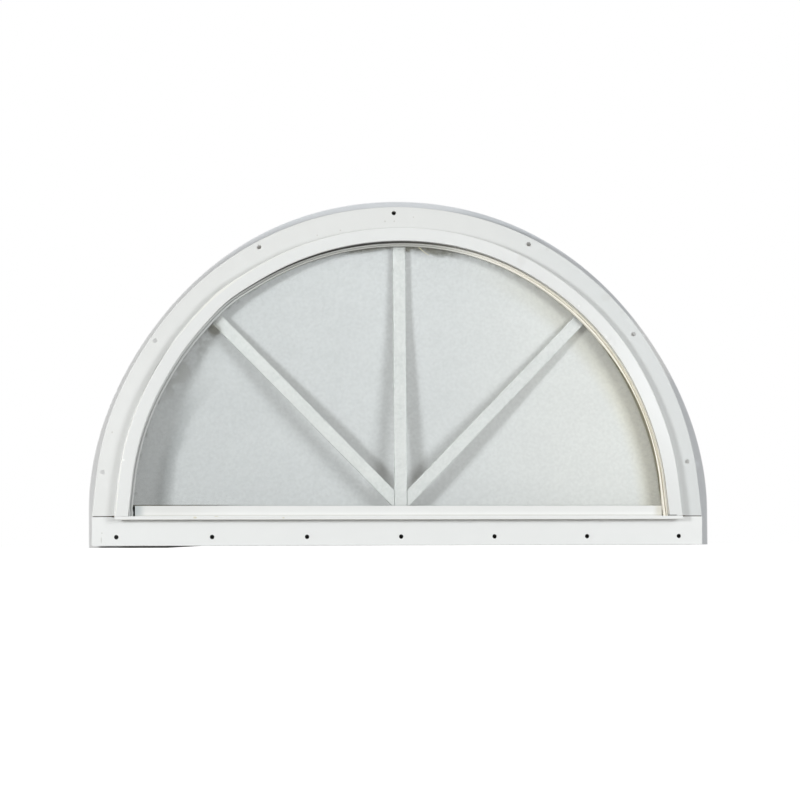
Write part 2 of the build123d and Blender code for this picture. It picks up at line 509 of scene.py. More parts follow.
# Places of single marks and their half-sizes, across and up in millimetres
FLANGE_SPECKS = (
    (-17, 312.6, 1.3, 1.2),
    (-7, 312.8, 1.0, 1.4),
    (14, 317.5, 1.0, 1.0),
    (-65.5, 302.3, 1.3, 1.0),
    (-90.5, 296.6, 1.0, 1.0),
    (-309.5, 84, 1.2, 1.4),
)
FLANGE_SMUDGES = ((225.7, 232.5, 8, 6), (160.7, 284.3, 3, 2.5), (243.4, 216.3, 4, 3), (130.2, 271, 7, 8))
# White spots on the raised face: a nick at the left, and painted highlights on two of the dents
FACE_NICKS_AND_DENT_GLINTS = ((-297.7, 54.3, 1.6, 1.8), (193.5, 222, 1.3, 1.6), (223.4, 188.5, 1.2, 1.4))
FACE_DENTS = ((192, 220.5, 5, 5), (225, 187, 5, 4), (230.5, 182, 4, 4))
NOSE_CHIPS = ((-222, -6.6, 2.6, 1.6), (-199.5, -5.4, 3.0, 0.8), (-128, -7, 1.6, 1.0))
SILL_SCUFFS = ((-320.6, -30.5, 0.9, 4.5), (-320, -23, 0.9, 1.2))
# Painted shadow on the pane under the upper end of the left bar
SHADOW_UNDER_BAR = ((-200.5, 194, 10, 8),)


def painted(tree, surface, base, peel, roughness=0.3):
    """Satin baked paint of a base colour, with a faint orange peel."""
    bump = add(tree, "ShaderNodeBump", {"Strength": 0.12, "Distance": 0.05 * MM, "Height": peel})
    inputs = {"Base Color": base, "Roughness": roughness, "Normal": bump.outputs[0]}
    paint = add(tree, "ShaderNodeBsdfPrincipled", inputs)
    tree.links.new(paint.outputs[0], surface)


def both(tree, *masks):
    """Where all of several masks hold."""
    product = masks[0]
    for mask in masks[1:]:
        product = maths(tree, "MULTIPLY", product, mask)
    return product


def arch_paint():
    """White baked paint on the arch, duller on the flange, with painted shade in the crease, the pocket and
    the inner edge, and painted light at the left.
    """
    material, tree, surface = new_material("arch paint")
    place = object_place(tree)
    x, y, z = axes(tree, place)
    ring = use(tree, ARCH_DISTANCE, place=place)
    tone = use(tree, PAINT_TONE, place=place)
    base = mixed(tree, tone["Tone"], ARCH_DARK, ARCH_LIGHT)
    outside = fade(tree, ring["Radius"], BODY_RADIUS, BODY_RADIUS + 1 * MM)
    on_right = fade(tree, x, 0, 250 * MM)
    on_left = fade(tree, x, -20 * MM, -200 * MM)
    # The flange is painted greyer than the raised face, and darker and cooler towards the right as painted
    # shade
    flange_greyed = both(tree, outside, maths(tree, "MULTIPLY_ADD", on_right, 0.10, 0.13))
    base = mixed(tree, flange_greyed, base, mixed(tree, on_right, SHADE_AND_DIRT, COOL_SHADE_GREY))
    smudges = both(tree, marks(tree, place, FLANGE_SMUDGES), 0.12)
    base = mixed(tree, smudges, base, SHADE_AND_DIRT)
    # Painted shade on the flange beside the raised face at the right, where the face's shadow falls
    crease_shade_line = both(
        tree,
        fade(tree, ring["Radius"], BODY_RADIUS + 3.5 * MM, BODY_RADIUS + 5.5 * MM),
        fade(tree, ring["Radius"], BODY_RADIUS + 8 * MM, BODY_RADIUS + 6 * MM),
        on_right,
        0.06,
    )
    base = mixed(tree, crease_shade_line, base, SHADE_AND_DIRT)
    # Painted light: the far left of the arch is made paler
    far_left = fade(tree, x, -240 * MM, -310 * MM)
    base = mixed(tree, maths(tree, "MULTIPLY", far_left, 0.14), base, LIGHT_AND_NICK_WHITE)
    specks = use(tree, SPECKS, place=place, scale=70.0, share=0.03, size=0.10)["Mask"]
    base = mixed(tree, maths(tree, "MULTIPLY", specks, 0.5), base, SHADE_AND_DIRT)
    base = mixed(tree, maths(tree, "MULTIPLY", marks(tree, place, FLANGE_SPECKS), 0.45), base, SHADE_AND_DIRT)
    # Painted highlight: a pale cream line along the raised face's outer front edge at the left
    edge = both(
        tree,
        fade(tree, ring["Radius"], BODY_RADIUS - 2 * MM, BODY_RADIUS - 0.8 * MM),
        fade(tree, y, FACE_FRONT + 2 * MM, FACE_FRONT + 1 * MM),
        on_left,
        0.25,
    )
    base = mixed(tree, edge, base, EDGE_HIGHLIGHT_CREAM)
    # A nick, and painted highlights on two dents
    base = mixed(tree, maths(tree, "MULTIPLY", marks(tree, place, FACE_NICKS_AND_DENT_GLINTS), 0.6), base, LIGHT_AND_NICK_WHITE)
    # Painted shade: the inside of the pocket is made near black
    pocket_shade = both(
        tree,
        fade(tree, ring["Radius"], BODY_RADIUS - 0.3 * MM, BODY_RADIUS - 0.8 * MM),
        fade(tree, y, POCKET_FRONT - 0.2 * MM, POCKET_FRONT),
    )
    base = mixed(tree, pocket_shade, base, JOINT_DIRT_AND_SHADE)
    # Painted shade: a brown line on the raised face's inner wall just behind its front edge, at the right
    inner_edge_shade = both(
        tree,
        fade(tree, ring["Radius"], FACE_INNER + 0.5 * MM, FACE_INNER + 0.2 * MM),
        fade(tree, y, FACE_FRONT + 0.1 * MM, FACE_FRONT + 0.4 * MM),
        fade(tree, y, FACE_FRONT + 1.9 * MM, FACE_FRONT + 1.4 * MM),
        on_right,
        0.7,
    )
    base = mixed(tree, inner_edge_shade, base, INNER_EDGE_SHADE_BROWN)
    foot = fade(tree, z, LEDGE + 0.3 * MM, LEDGE + 0.05 * MM)
    right_foot = both(
        tree,
        fade(tree, z, LEDGE + 1.5 * MM, LEDGE + 0.8 * MM),
        fade(tree, ring["Radius"], BODY_RADIUS - 5 * MM, BODY_RADIUS - 8 * MM),
        fade(tree, x, 0, 1 * MM),
        0.8,
    )
    base = mixed(tree, maths(tree, "MAXIMUM", foot, right_foot), base, JOINT_DIRT_AND_SHADE)
    height = maths(tree, "MULTIPLY_ADD", marks(tree, place, FACE_DENTS), -25.0, tone["Peel"])
    painted(tree, surface, base, height, maths(tree, "MULTIPLY_ADD", outside, 0.2, 0.3))
    return material


def sill_paint():
    """White baked paint on the sill, with dirt in the joint under the arch's flange, painted shade under
    the nose, along its edge, at the leg's foot and ends, and painted light low on the leg.
    """
    material, tree, surface = new_material("sill paint")
    place = object_place(tree)
    x, y, z = axes(tree, place)
    tone = use(tree, PAINT_TONE, place=place)
    base = mixed(tree, tone["Tone"], SILL_DARK, SILL_LIGHT)
    specks = use(tree, SPECKS, place=place, scale=70.0, share=0.02, size=0.10)["Mask"]
    base = mixed(tree, maths(tree, "MULTIPLY", specks, 0.4), base, SHADE_AND_DIRT)
    joint = both(
        tree,
        fade(tree, z, LEDGE - 0.9 * MM, LEDGE - 0.6 * MM),
        fade(tree, y, -2.2 * MM, -1.8 * MM),
    )
    base = mixed(tree, joint, base, JOINT_DIRT_AND_SHADE)
    # Painted shade in the hollow under the nose, between its lip and the flange
    under_nose_shade = both(
        tree,
        fade(tree, z, LEDGE - 1.2 * MM, LEDGE - 1.6 * MM),
        fade(tree, y, -1.6 * MM, -2.0 * MM),
        fade(tree, y, -11.0 * MM, -10.5 * MM),
    )
    base = mixed(tree, under_nose_shade, base, SHADE_AND_DIRT)
    on_leg = both(tree, fade(tree, y, -5.6 * MM, -5.0 * MM), fade(tree, z, LEDGE, LEDGE + 0.4 * MM))
    leg_height = fade(tree, z, LEDGE + 1.5 * MM, LEDGE + 6 * MM)
    # Painted light: the leg's lower part is made paler
    base = mixed(tree, both(tree, on_leg, maths(tree, "SUBTRACT", 1.0, leg_height), 0.22), base, LIGHT_AND_NICK_WHITE)
    # The leg is painted darker towards its left
    base = mixed(tree, both(tree, on_leg, fade(tree, x, -170 * MM, -250 * MM), 0.14), base, SHADE_AND_DIRT)
    # Painted shade: the leg's upper part is made a little darker
    base = mixed(tree, both(tree, on_leg, leg_height, 0.06), base, SHADE_AND_DIRT)
    # Painted shade and painted beige reflection of the gasket at the leg's right end
    base = mixed(tree, both(tree, on_leg, fade(tree, x, 274 * MM, 283 * MM), 0.5), base, LEG_END_SHADE_BEIGE)
    # Painted shadow at the leg's left end, where the arch's raised face shades it
    base = mixed(tree, both(tree, on_leg, fade(tree, x, -273 * MM, -283 * MM), 0.7), base, COOL_SHADE_GREY)
    # Painted shade in the corner where the leg meets the ledge
    leg_foot_shade = both(tree, on_leg, fade(tree, z, LEDGE + 1.8 * MM, LEDGE + 1.2 * MM), 0.42)
    base = mixed(tree, leg_foot_shade, base, SHADE_AND_DIRT)
    on_nose = fade(tree, y, -8 * MM, -10 * MM)
    # Painted shade along the nose's lower edge, where its shadow begins
    nose_edge_shade = both(tree, on_nose, fade(tree, z, LEDGE - 3.2 * MM, LEDGE - 3.6 * MM), 0.7)
    base = mixed(tree, nose_edge_shade, base, SHADE_AND_DIRT)
    chips = both(tree, marks(tree, place, NOSE_CHIPS), on_nose, 0.6)
    base = mixed(tree, chips, base, CHIPPED)
    base = mixed(tree, maths(tree, "MULTIPLY", marks(tree, place, SILL_SCUFFS), 0.4), base, SHADE_AND_DIRT)
    painted(tree, surface, base, tone["Peel"])
    return material


def bar_paint():
    """White baked paint on the glazing bars, a little greener than the frame's, with painted shade at their
    outer ends.
    """
    material, tree, surface = new_material("bar paint")
    place = object_place(tree)
    y = axes(tree, place)[1]
    tone = use(tree, PAINT_TONE, place=place)
    base = mixed(tree, tone["Tone"], colour(0.765, 0.775, 0.755), colour(0.815, 0.825, 0.805))
    by_glass = both(
        tree,
        fade(tree, y, GLASS_BACK + 0.15 * MM, GLASS_BACK + 0.4 * MM),
        fade(tree, y, GLASS_BACK + 1.6 * MM, GLASS_BACK + 1.2 * MM),
    )
    patches = use(tree, GRIME, place=place, scale=110.0, cover=0.55)["Mask"]
    ring = use(tree, ARCH_DISTANCE, place=place)
    # Painted shade at the bars' outer ends, where the frame shades them
    outer_end = fade(tree, ring["Radius"], SIGHT_RADIUS - 12 * MM, SIGHT_RADIUS)
    end_shade = both(tree, outer_end, maths(tree, "MULTIPLY_ADD", patches, 0.15, 0.15))
    base = mixed(tree, end_shade, base, BAR_DIRT_AND_SHADE)
    edge_dirt = both(tree, by_glass, maths(tree, "MULTIPLY_ADD", patches, 0.5, 0.35))
    base = mixed(tree, edge_dirt, base, BAR_DIRT_AND_SHADE)
    specks = use(tree, SPECKS, place=place, scale=160.0, share=0.08, size=0.12)["Mask"]
    base = mixed(tree, maths(tree, "MULTIPLY", specks, 0.5), base, BAR_DIRT_AND_SHADE)
    painted(tree, surface, base, tone["Peel"])
    return material


def gasket_vinyl():
    """Vinyl, yellowed on the right and painted darker grey on the left as shade, with painted shade at the
    crown, dirt and painted shade between its ribs, and painted shade behind them.
    """
    material, tree, surface = new_material("gasket vinyl")
    place = object_place(tree)
    x, y, z = axes(tree, place)
    tone = use(tree, PAINT_TONE, place=place)
    # Painted shade: the vinyl is made a darker grey on the left, where the raised face shades it
    grey = mixed(tree, tone["Tone"], colour(0.55, 0.57, 0.57), colour(0.72, 0.73, 0.72))
    cream = mixed(tree, tone["Tone"], colour(0.90, 0.85, 0.73), colour(0.97, 0.94, 0.85))
    ring = use(tree, ARCH_DISTANCE, place=place)
    to_right = fade(tree, x, -60 * MM, 200 * MM)
    base = mixed(tree, to_right, grey, cream)
    # Painted shade at the crown, under the raised face's inner edge
    crown = both(tree, fade(tree, z, 200 * MM, 270 * MM), fade(tree, x, 95 * MM, 25 * MM))
    base = mixed(tree, maths(tree, "MULTIPLY", crown, 0.75), base, colour(0.36, 0.36, 0.33))
    in_lip = maths(tree, "SUBTRACT", ring["Radius"], SIGHT_RADIUS)
    from_edge = maths(tree, "ADD", in_lip, LIP_SHIFT)
    rib_width = maths(tree, "MULTIPLY_ADD", to_right, LIP_SPREAD * RIB_WIDTH, RIB_WIDTH)
    rib_place = maths(tree, "FRACT", maths(tree, "DIVIDE", from_edge, rib_width))
    # Dirt and painted shade between the ribs: near black in the valleys at the left, brown at the right
    groove_right = both(tree, fade(tree, rib_place, 0.16, 0.06), to_right)
    groove_left = fade(tree, y, RIB_BASE - 0.55 * MM, RIB_BASE - 0.1 * MM)
    groove = blended(tree, to_right, groove_left, groove_right)
    groove = both(tree, groove, maths(tree, "MULTIPLY_ADD", to_right, -0.35, 0.85))
    dirt = mixed(tree, to_right, colour(0.10, 0.11, 0.11), colour(0.45, 0.34, 0.19))
    base = mixed(tree, groove, base, dirt)
    glass_edge = fade(tree, in_lip, -LIP_SHIFT + 0.5 * MM, -LIP_SHIFT + 0.2 * MM)
    base = mixed(tree, both(tree, glass_edge, to_right, 0.85), base, EDGE_OLIVE)
    # Painted shade: the vinyl behind the ribs is made near black, less so at the right
    deep_shade = fade(tree, y, RIB_BASE + 0.3 * MM, RIB_BASE + 0.9 * MM)
    deep_shade = both(tree, deep_shade, maths(tree, "MULTIPLY_ADD", to_right, -0.85, 1.0))
    base = mixed(tree, deep_shade, base, JOINT_DIRT_AND_SHADE)
    vinyl = add(tree, "ShaderNodeBsdfPrincipled", {"Base Color": base, "Roughness": 0.5})
    tree.links.new(vinyl.outputs[0], surface)
    return material


def pane_glass():
    """Clear glass with a grey-green tint, which lets the lamps' light through."""
    material, tree, surface = new_material("pane glass")
    glass = add(
        tree,
        "ShaderNodeBsdfPrincipled",
        {
            "Base Color": colour(0.92, 0.952, 0.95),
            "Roughness": 0.0,
            "IOR": 1.5,
            "Specular IOR Level": 0.25,
            "Transmission Weight": 1.0,
        },
    )
    clear = add(tree, "ShaderNodeBsdfTransparent")
    path = add(tree, "ShaderNodeLightPath").outputs
    for_bounced = add(
        tree,
        "ShaderNodeMixShader",
        {0: path["Is Diffuse Ray"], 1: glass.outputs[0], 2: clear.outputs[0]},
    )
    for_lamps = add(
        tree,
        "ShaderNodeMixShader",
        {0: path["Is Shadow Ray"], 1: for_bounced.outputs[0], 2: clear.outputs[0]},
    )
    tree.links.new(for_lamps.outputs[0], surface)
    return material


def pane_dust():
    """Dust on the pane: a thin film that pales to the right and dirt along the rim, with painted shade
    along the foot, under the left bar and in the slit at the leg's left end.
    """
    material, tree, surface = new_material("pane dust")
    place = object_place(tree)
    x, _, z = axes(tree, place)
    ring = use(tree, ARCH_DISTANCE, place=place)
    cloud = maths(tree, "MULTIPLY", fade(tree, noise(tree, place, 22.0, 3.0), 0.3, 0.7), 0.025)
    mottle = fade(tree, noise(tree, place, 320.0, 3.0), 0.3, 0.7)
    patchy = maths(tree, "MULTIPLY_ADD", mottle, 0.06, cloud)
    to_right = fade(tree, x, -180 * MM, 200 * MM)
    film_tone = mixed(tree, to_right, colour(0.34, 0.38, 0.39), colour(0.45, 0.46, 0.47))
    film = maths(tree, "ADD", patchy, 0.02)
    rim_patches = use(tree, GRIME, place=place, scale=90.0, cover=0.62)["Mask"]
    rim = both(tree, fade(tree, ring["Radius"], SIGHT_RADIUS - 4 * MM, SIGHT_RADIUS), rim_patches, 0.2)
    upper_left = both(
        tree,
        fade(tree, ring["Radius"], SIGHT_RADIUS - 34 * MM, SIGHT_RADIUS - 4 * MM),
        fade(tree, x, -160 * MM, -205 * MM),
        fade(tree, z, 90 * MM, 140 * MM),
        use(tree, GRIME, place=place, scale=70.0, cover=0.75)["Mask"],
        0.2,
    )
    rim = maths(tree, "MAXIMUM", rim, upper_left)
    # Painted shadow under the left bar's upper end
    shadow_under_bar = both(tree, marks(tree, place, SHADOW_UNDER_BAR), 0.4)
    rim = maths(tree, "MAXIMUM", rim, shadow_under_bar)
    crown_right = fade(tree, x, 0, 8 * MM)
    drip_reach = maths(tree, "MULTIPLY_ADD", crown_right, 4 * MM, 4 * MM)
    drip = maths(tree, "MULTIPLY", fade(tree, noise(tree, place, 42.0, 3.0), 0.15, 0.7), drip_reach)
    below_lip = maths(tree, "ADD", maths(tree, "SUBTRACT", ring["Radius"], SIGHT_RADIUS), drip)
    at_crown = both(
        tree,
        fade(tree, x, -75 * MM, -45 * MM),
        fade(tree, x, 75 * MM, 40 * MM),
        fade(tree, z, 0, 200 * MM),
    )
    beside_bar = fade(tree, maths(tree, "ABSOLUTE", maths(tree, "ADD", x, 2.5 * MM)), 7 * MM, 9 * MM)
    smear = use(tree, GRIME, place=place, scale=90.0, cover=0.75)["Mask"]
    crown_cover = maths(tree, "MULTIPLY_ADD", smear, 0.25, 0.42)
    crown_dirt = both(tree, fade(tree, below_lip, -2.5 * MM, 4.0 * MM), crown_cover)
    rim = maths(tree, "MAXIMUM", rim, both(tree, at_crown, beside_bar, crown_dirt))
    # Painted shade on the pane along the top of the sill's leg, stronger at the left
    leg_top_shade = fade(tree, z, LEG_TOP + 1.6 * MM, LEG_TOP + 0.8 * MM)
    foot_left = fade(tree, x, -150 * MM, -230 * MM)
    foot = maths(tree, "MULTIPLY", leg_top_shade, maths(tree, "MULTIPLY_ADD", foot_left, 0.6, 0.15))
    dirt = maths(tree, "MAXIMUM", rim, foot)
    base = mixed(tree, fade(tree, dirt, 0.05, 0.2), film_tone, colour(0.13, 0.125, 0.095))
    # Painted shade: the slit at the left end of the leg is made black
    slit = both(
        tree,
        fade(tree, x, -SIGHT_RADIUS + 0.5 * MM, -SIGHT_RADIUS - 0.3 * MM),
        fade(tree, z, LEG_TOP, LEG_TOP - 1 * MM),
    )
    base = mixed(tree, slit, base, colour(0.01, 0.01, 0.01))
    cover = maths(tree, "MAXIMUM", maths(tree, "MAXIMUM", film, dirt), slit)
    dust = add(tree, "ShaderNodeBsdfPrincipled", {"Base Color": base, "Roughness": 0.9, "Alpha": cover})
    tree.links.new(dust.outputs[0], surface)
    return material


ARCH_PAINT = arch_paint()
SILL_PAINT = sill_paint()
BAR_PAINT = bar_paint()
GASKET_VINYL = gasket_vinyl()
PANE_GLASS = pane_glass()
PANE_DUST = pane_dust()


def dress(node_name, material):
    """Give a CAD node its finish."""
    node = nodes[node_name]
    node.data.materials.clear()
    node.data.materials.append(material)


for bar_name in ("left_bar", "vertical_bar", "right_bar"):
    dress(bar_name, BAR_PAINT)
dress("sill_frame", SILL_PAINT)
dress("glass_pane", PANE_GLASS)
dress("sill_gasket", GASKET_VINYL)


# Arch and gasket, each one profile carried round the arch


def profile_points(corners):
    """A profile about the body's radius, from corners given as radius, depth and rounding."""
    return rounded([(radius - BODY_RADIUS, depth, round_off) for radius, depth, round_off in corners])


def arch_profile():
    body_inner = BODY_RADIUS - METAL
    flange_edge = BODY_RADIUS + FLANGE_WIDTH
    return profile_points(
        [
            (BODY_RADIUS, 0, 0),
            (BODY_RADIUS, REAR_EDGE, 0),
            (body_inner, REAR_EDGE, 0),
            (body_inner, POCKET_BACK + METAL, 0),
            (FACE_INNER, POCKET_BACK + METAL, 0),
            (FACE_INNER, POCKET_BACK, 0),
            (body_inner, POCKET_BACK, 0),
            (body_inner, POCKET_FRONT, 0),
            (FACE_INNER, POCKET_FRONT, INNER_ROUND),
            (FACE_INNER, FACE_FRONT, FACE_ROUND),
            (BODY_RADIUS, FACE_FRONT, FACE_ROUND),
            (BODY_RADIUS, -METAL, INNER_ROUND),
            (flange_edge, -METAL, FLANGE_ROUND),
            (flange_edge, 0, 0),
        ]
    )


def gasket_profile():
    web_inner = GASKET_OUTER - GASKET_WEB
    corners = [
        (SIGHT_RADIUS, GLASS_FRONT, 0),
        (web_inner, GLASS_FRONT, 0),
        (web_inner, GLASS_BACK, 0),
        (REAR_SIGHT_RADIUS, GLASS_BACK, 0),
        (REAR_SIGHT_RADIUS, POCKET_BACK, 0),
        (GASKET_OUTER, POCKET_BACK, 0),
        (GASKET_OUTER, FLAP_FRONT, 0),
        (SIGHT_RADIUS + RIB_COUNT * RIB_WIDTH, FLAP_FRONT, 0),
    ]
    for rib in reversed(range(RIB_COUNT)):
        middle = SIGHT_RADIUS + (rib + 0.5) * RIB_WIDTH
        for step in range(RIB_STEPS + 1):
            turn = math.pi * step / RIB_STEPS
            across = middle + RIB_WIDTH / 2 * math.cos(turn)
            corners.append((across, RIB_BASE + (RIB_TOP - RIB_BASE) * math.sin(turn), 0))
    return profile_points(corners)[::-1]


bent_tree = bent_profile_tree()
bent_line = drawn_line("bent line", arch_line(BODY_RADIUS, LEDGE - FOOT_SPARE))


def bent_piece(name, points, hole_count, finish):
    """A profile carried round the arch, in place of its CAD node."""
    outline = drawn_line(f"{name} profile", points, closed=True)
    piece = run_tree(
        name,
        bent_tree,
        {
            "Line": bent_line,
            "Profile": outline,
            "Hole Count": hole_count,
            "Hole Circle": HOLE_CIRCLE,
            "Hole Radius": HOLE_RADIUS,
            "Hole Shift": HOLE_SHIFT,
            "First Hole": math.pi / 2 + HOLE_TURN - (HOLE_COUNT - 1) / 2 * HOLE_STEP,
            "Hole Step": HOLE_STEP,
            "Foot Height": LEDGE,
            "Finish": finish,
        },
    )
    bpy.data.objects.remove(outline)
    settle(piece, name == "arch_gasket")
    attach(piece, "root")
    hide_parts(name)


bent_piece("arch_frame", arch_profile(), HOLE_COUNT, ARCH_PAINT)
bent_piece("arch_gasket", gasket_profile(), 0, GASKET_VINYL)
bpy.data.objects.remove(bent_line)

DUST_GAP = 0.15 * MM
DUST_EDGE = SIGHT_RADIUS + 3 * MM
DUST_BOTTOM = LEDGE + 1 * MM


def dust_on_pane():
    """A thin film just in front of the glass, its edge tucked under the gasket and the sill's leg."""
    mesh = bpy.data.meshes.new("dust_on_pane")
    outline = [(p.x, GLASS_FRONT - DUST_GAP, p.y) for p in arch_line(DUST_EDGE, DUST_BOTTOM)]
    mesh.from_pydata(outline, [], [list(range(len(outline)))])
    mesh.materials.append(PANE_DUST)
    film = put_in_scene("dust_on_pane", mesh)
    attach(film, "root")


dust_on_pane()

THREAD_POINTS = ((17.5, 286.5), (20.5, 284), (25, 280.2), (29.5, 277), (31, 276.4))
THREAD_RADIUS = 0.45 * MM
THREAD_TAPER = 0.6


def sealant_thread():
    """A drawn-out thread of sealant that hangs from the gasket on the glass."""
    curve = bpy.data.curves.new("sealant_thread", "CURVE")
    curve.dimensions = "3D"
    curve.bevel_depth = THREAD_RADIUS
    curve.use_fill_caps = True
    spline = curve.splines.new("NURBS")
    spline.points.add(len(THREAD_POINTS) - 1)
    for index, (across, up) in enumerate(THREAD_POINTS):
        spline.points[index].co = (across * MM, GLASS_FRONT - THREAD_RADIUS - DUST_GAP, up * MM, 1)
        spline.points[index].radius = 1.0 - THREAD_TAPER * index / len(THREAD_POINTS)
    spline.order_u = 3
    spline.use_endpoint_u = True
    drawn = put_in_scene("drawn thread", curve)
    evaluated = drawn.evaluated_get(bpy.context.evaluated_depsgraph_get())
    thread = put_in_scene("sealant_thread", bpy.data.meshes.new_from_object(evaluated))
    bpy.data.objects.remove(drawn)
    material, tree, surface = new_material("old sealant")
    tone = use(tree, PAINT_TONE, place=object_place(tree))["Tone"]
    base = mixed(tree, tone, colour(0.55, 0.53, 0.36), colour(0.80, 0.77, 0.58))
    sealant = add(tree, "ShaderNodeBsdfPrincipled", {"Base Color": base, "Roughness": 0.55})
    tree.links.new(sealant.outputs[0], surface)
    thread.data.materials.append(material)
    thread.data.shade_smooth()
    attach(thread, "root")


sealant_thread()

JOINT_TOP = LEDGE
JOINT_BOTTOM = LEDGE - 0.6 * MM
JOINT_SPREAD = 0.7 * MM
JOINT_BULGE = 6 * MM
JOINT_PROUD = 0.15 * MM
JOINT_END_GAP = 1 * MM


def packed_dirt():
    """Dirt with a little grit in it, for the joints."""
    material, tree, surface = new_material("packed dirt")
    grit = use(tree, GRIME, place=object_place(tree), scale=400.0, cover=0.5)["Mask"]
    base = mixed(tree, grit, JOINT_DIRT_AND_SHADE, colour(0.16, 0.11, 0.07))
    dirt = add(tree, "ShaderNodeBsdfPrincipled", {"Base Color": base, "Roughness": 0.9})
    tree.links.new(dirt.outputs[0], surface)
    return material


def dirt_in_joint(name, side, material):
    """Dirt in the joint under one end of the arch's flange, wider next to the raised face."""
    inner = side * foot_reach(BODY_RADIUS, LEDGE)
    bulge = inner + side * JOINT_BULGE
    outer = side * (foot_reach(arch_high.z, LEDGE) - JOINT_END_GAP)
    line = [
        (outer, JOINT_TOP),
        (bulge, JOINT_TOP),
        (inner, JOINT_TOP + JOINT_SPREAD),
        (inner, JOINT_BOTTOM - JOINT_SPREAD),
        (bulge, JOINT_BOTTOM),
        (outer, JOINT_BOTTOM),
    ]
    front = [(x, -METAL - JOINT_PROUD, z) for x, z in line]
    back = [(x, -METAL / 2, z) for x, z in line]
    count = len(line)
    walls = [(i, (i + 1) % count, (i + 1) % count + count, i + count) for i in range(count)]
    faces = [tuple(range(count)), tuple(reversed(range(count, 2 * count))), *walls]
    mesh = bpy.data.meshes.new(name)
    mesh.from_pydata(front + back, [], faces)
    if side > 0:
        mesh.flip_normals()
    mesh.materials.append(material)
    dirt = put_in_scene(name, mesh)
    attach(dirt, "root")


PACKED_DIRT = packed_dirt()
dirt_in_joint("left_joint_dirt", -1, PACKED_DIRT)
dirt_in_joint("right_joint_dirt", 1, PACKED_DIRT)


# Stage: a white surface that the window leans on, a pale floor, two soft lamps and a plain sky

FLOOR_HEIGHT = sill_low.z - 0.3 * MM
FLOOR_DIP = 2.0 * MM
DIP_START = -250 * MM
DIP_END = -212 * MM
FLOOR_SHADE_SIDE = 335 * MM
FLOOR_SIDE = 6.0
WALL_BOTTOM = -45 * MM
WALL_GAP = 2.0 * MM
WALL_LEAN = 0.152
WALL_BEND_HIGH = 220 * MM
WALL_BEND_LOW = 55 * MM
WALL_BEND_EASE = 22 * MM
WALL_CURL_START = 120 * MM
WALL_CURL_END = 310 * MM
WALL_CURL = 0.67
WALL_SHARE = 0.75
WALL_TURN = 0.5
WALL_TURN_REACH = 1.2
WALL_SIDE = 1.6
WALL_TOP = 0.9
WALL_STEPS = 40
SHADED_CENTRE = (3.3 * MM, 1.0 * MM)
SHADED_TILT = 0.0056
SHADED_RADIUS = 333.3 * MM
SHADED_WOBBLE = 1.8 * MM
SHADED_RIPPLE = 1.0 * MM
HIDDEN_SIDE = 326 * MM
HIDDEN_TOP = -10 * MM
# Places on the sheet where the painted shadow round the flange is deeper and lighter
BAND_DEEPER_SHADE = ((115, 312, 75, 45),)
BAND_LIGHTER_SHADE = ((285, 185, 45, 60),)
BEHIND_CROWN = ((-6, 320, 18, 7),)


def wall_depth(across, height):
    """Depth of the sheet behind: close to the arch at the top and bent away below, more so at the left."""
    bends = (WALL_BEND_HIGH, WALL_BEND_LOW)
    high, low = [np.logaddexp(0, (bend - height) / WALL_BEND_EASE) for bend in bends]
    curl = np.clip((across - WALL_CURL_START) / (WALL_CURL_END - WALL_CURL_START), 0, 1)
    share = WALL_SHARE - WALL_TURN * np.clip(across / BODY_RADIUS, -WALL_TURN_REACH, WALL_TURN_REACH)
    leant = WALL_LEAN * WALL_BEND_EASE * (high - low) * share
    return REAR_EDGE + WALL_GAP + leant * (1 - WALL_CURL * curl**2)


def sheet_of(name, corners, faces, material):
    """A thin stage piece."""
    mesh = bpy.data.meshes.new(name)
    mesh.from_pydata(corners, [], faces)
    mesh.materials.append(material)
    sheet = put_in_scene(name, mesh)
    return sheet


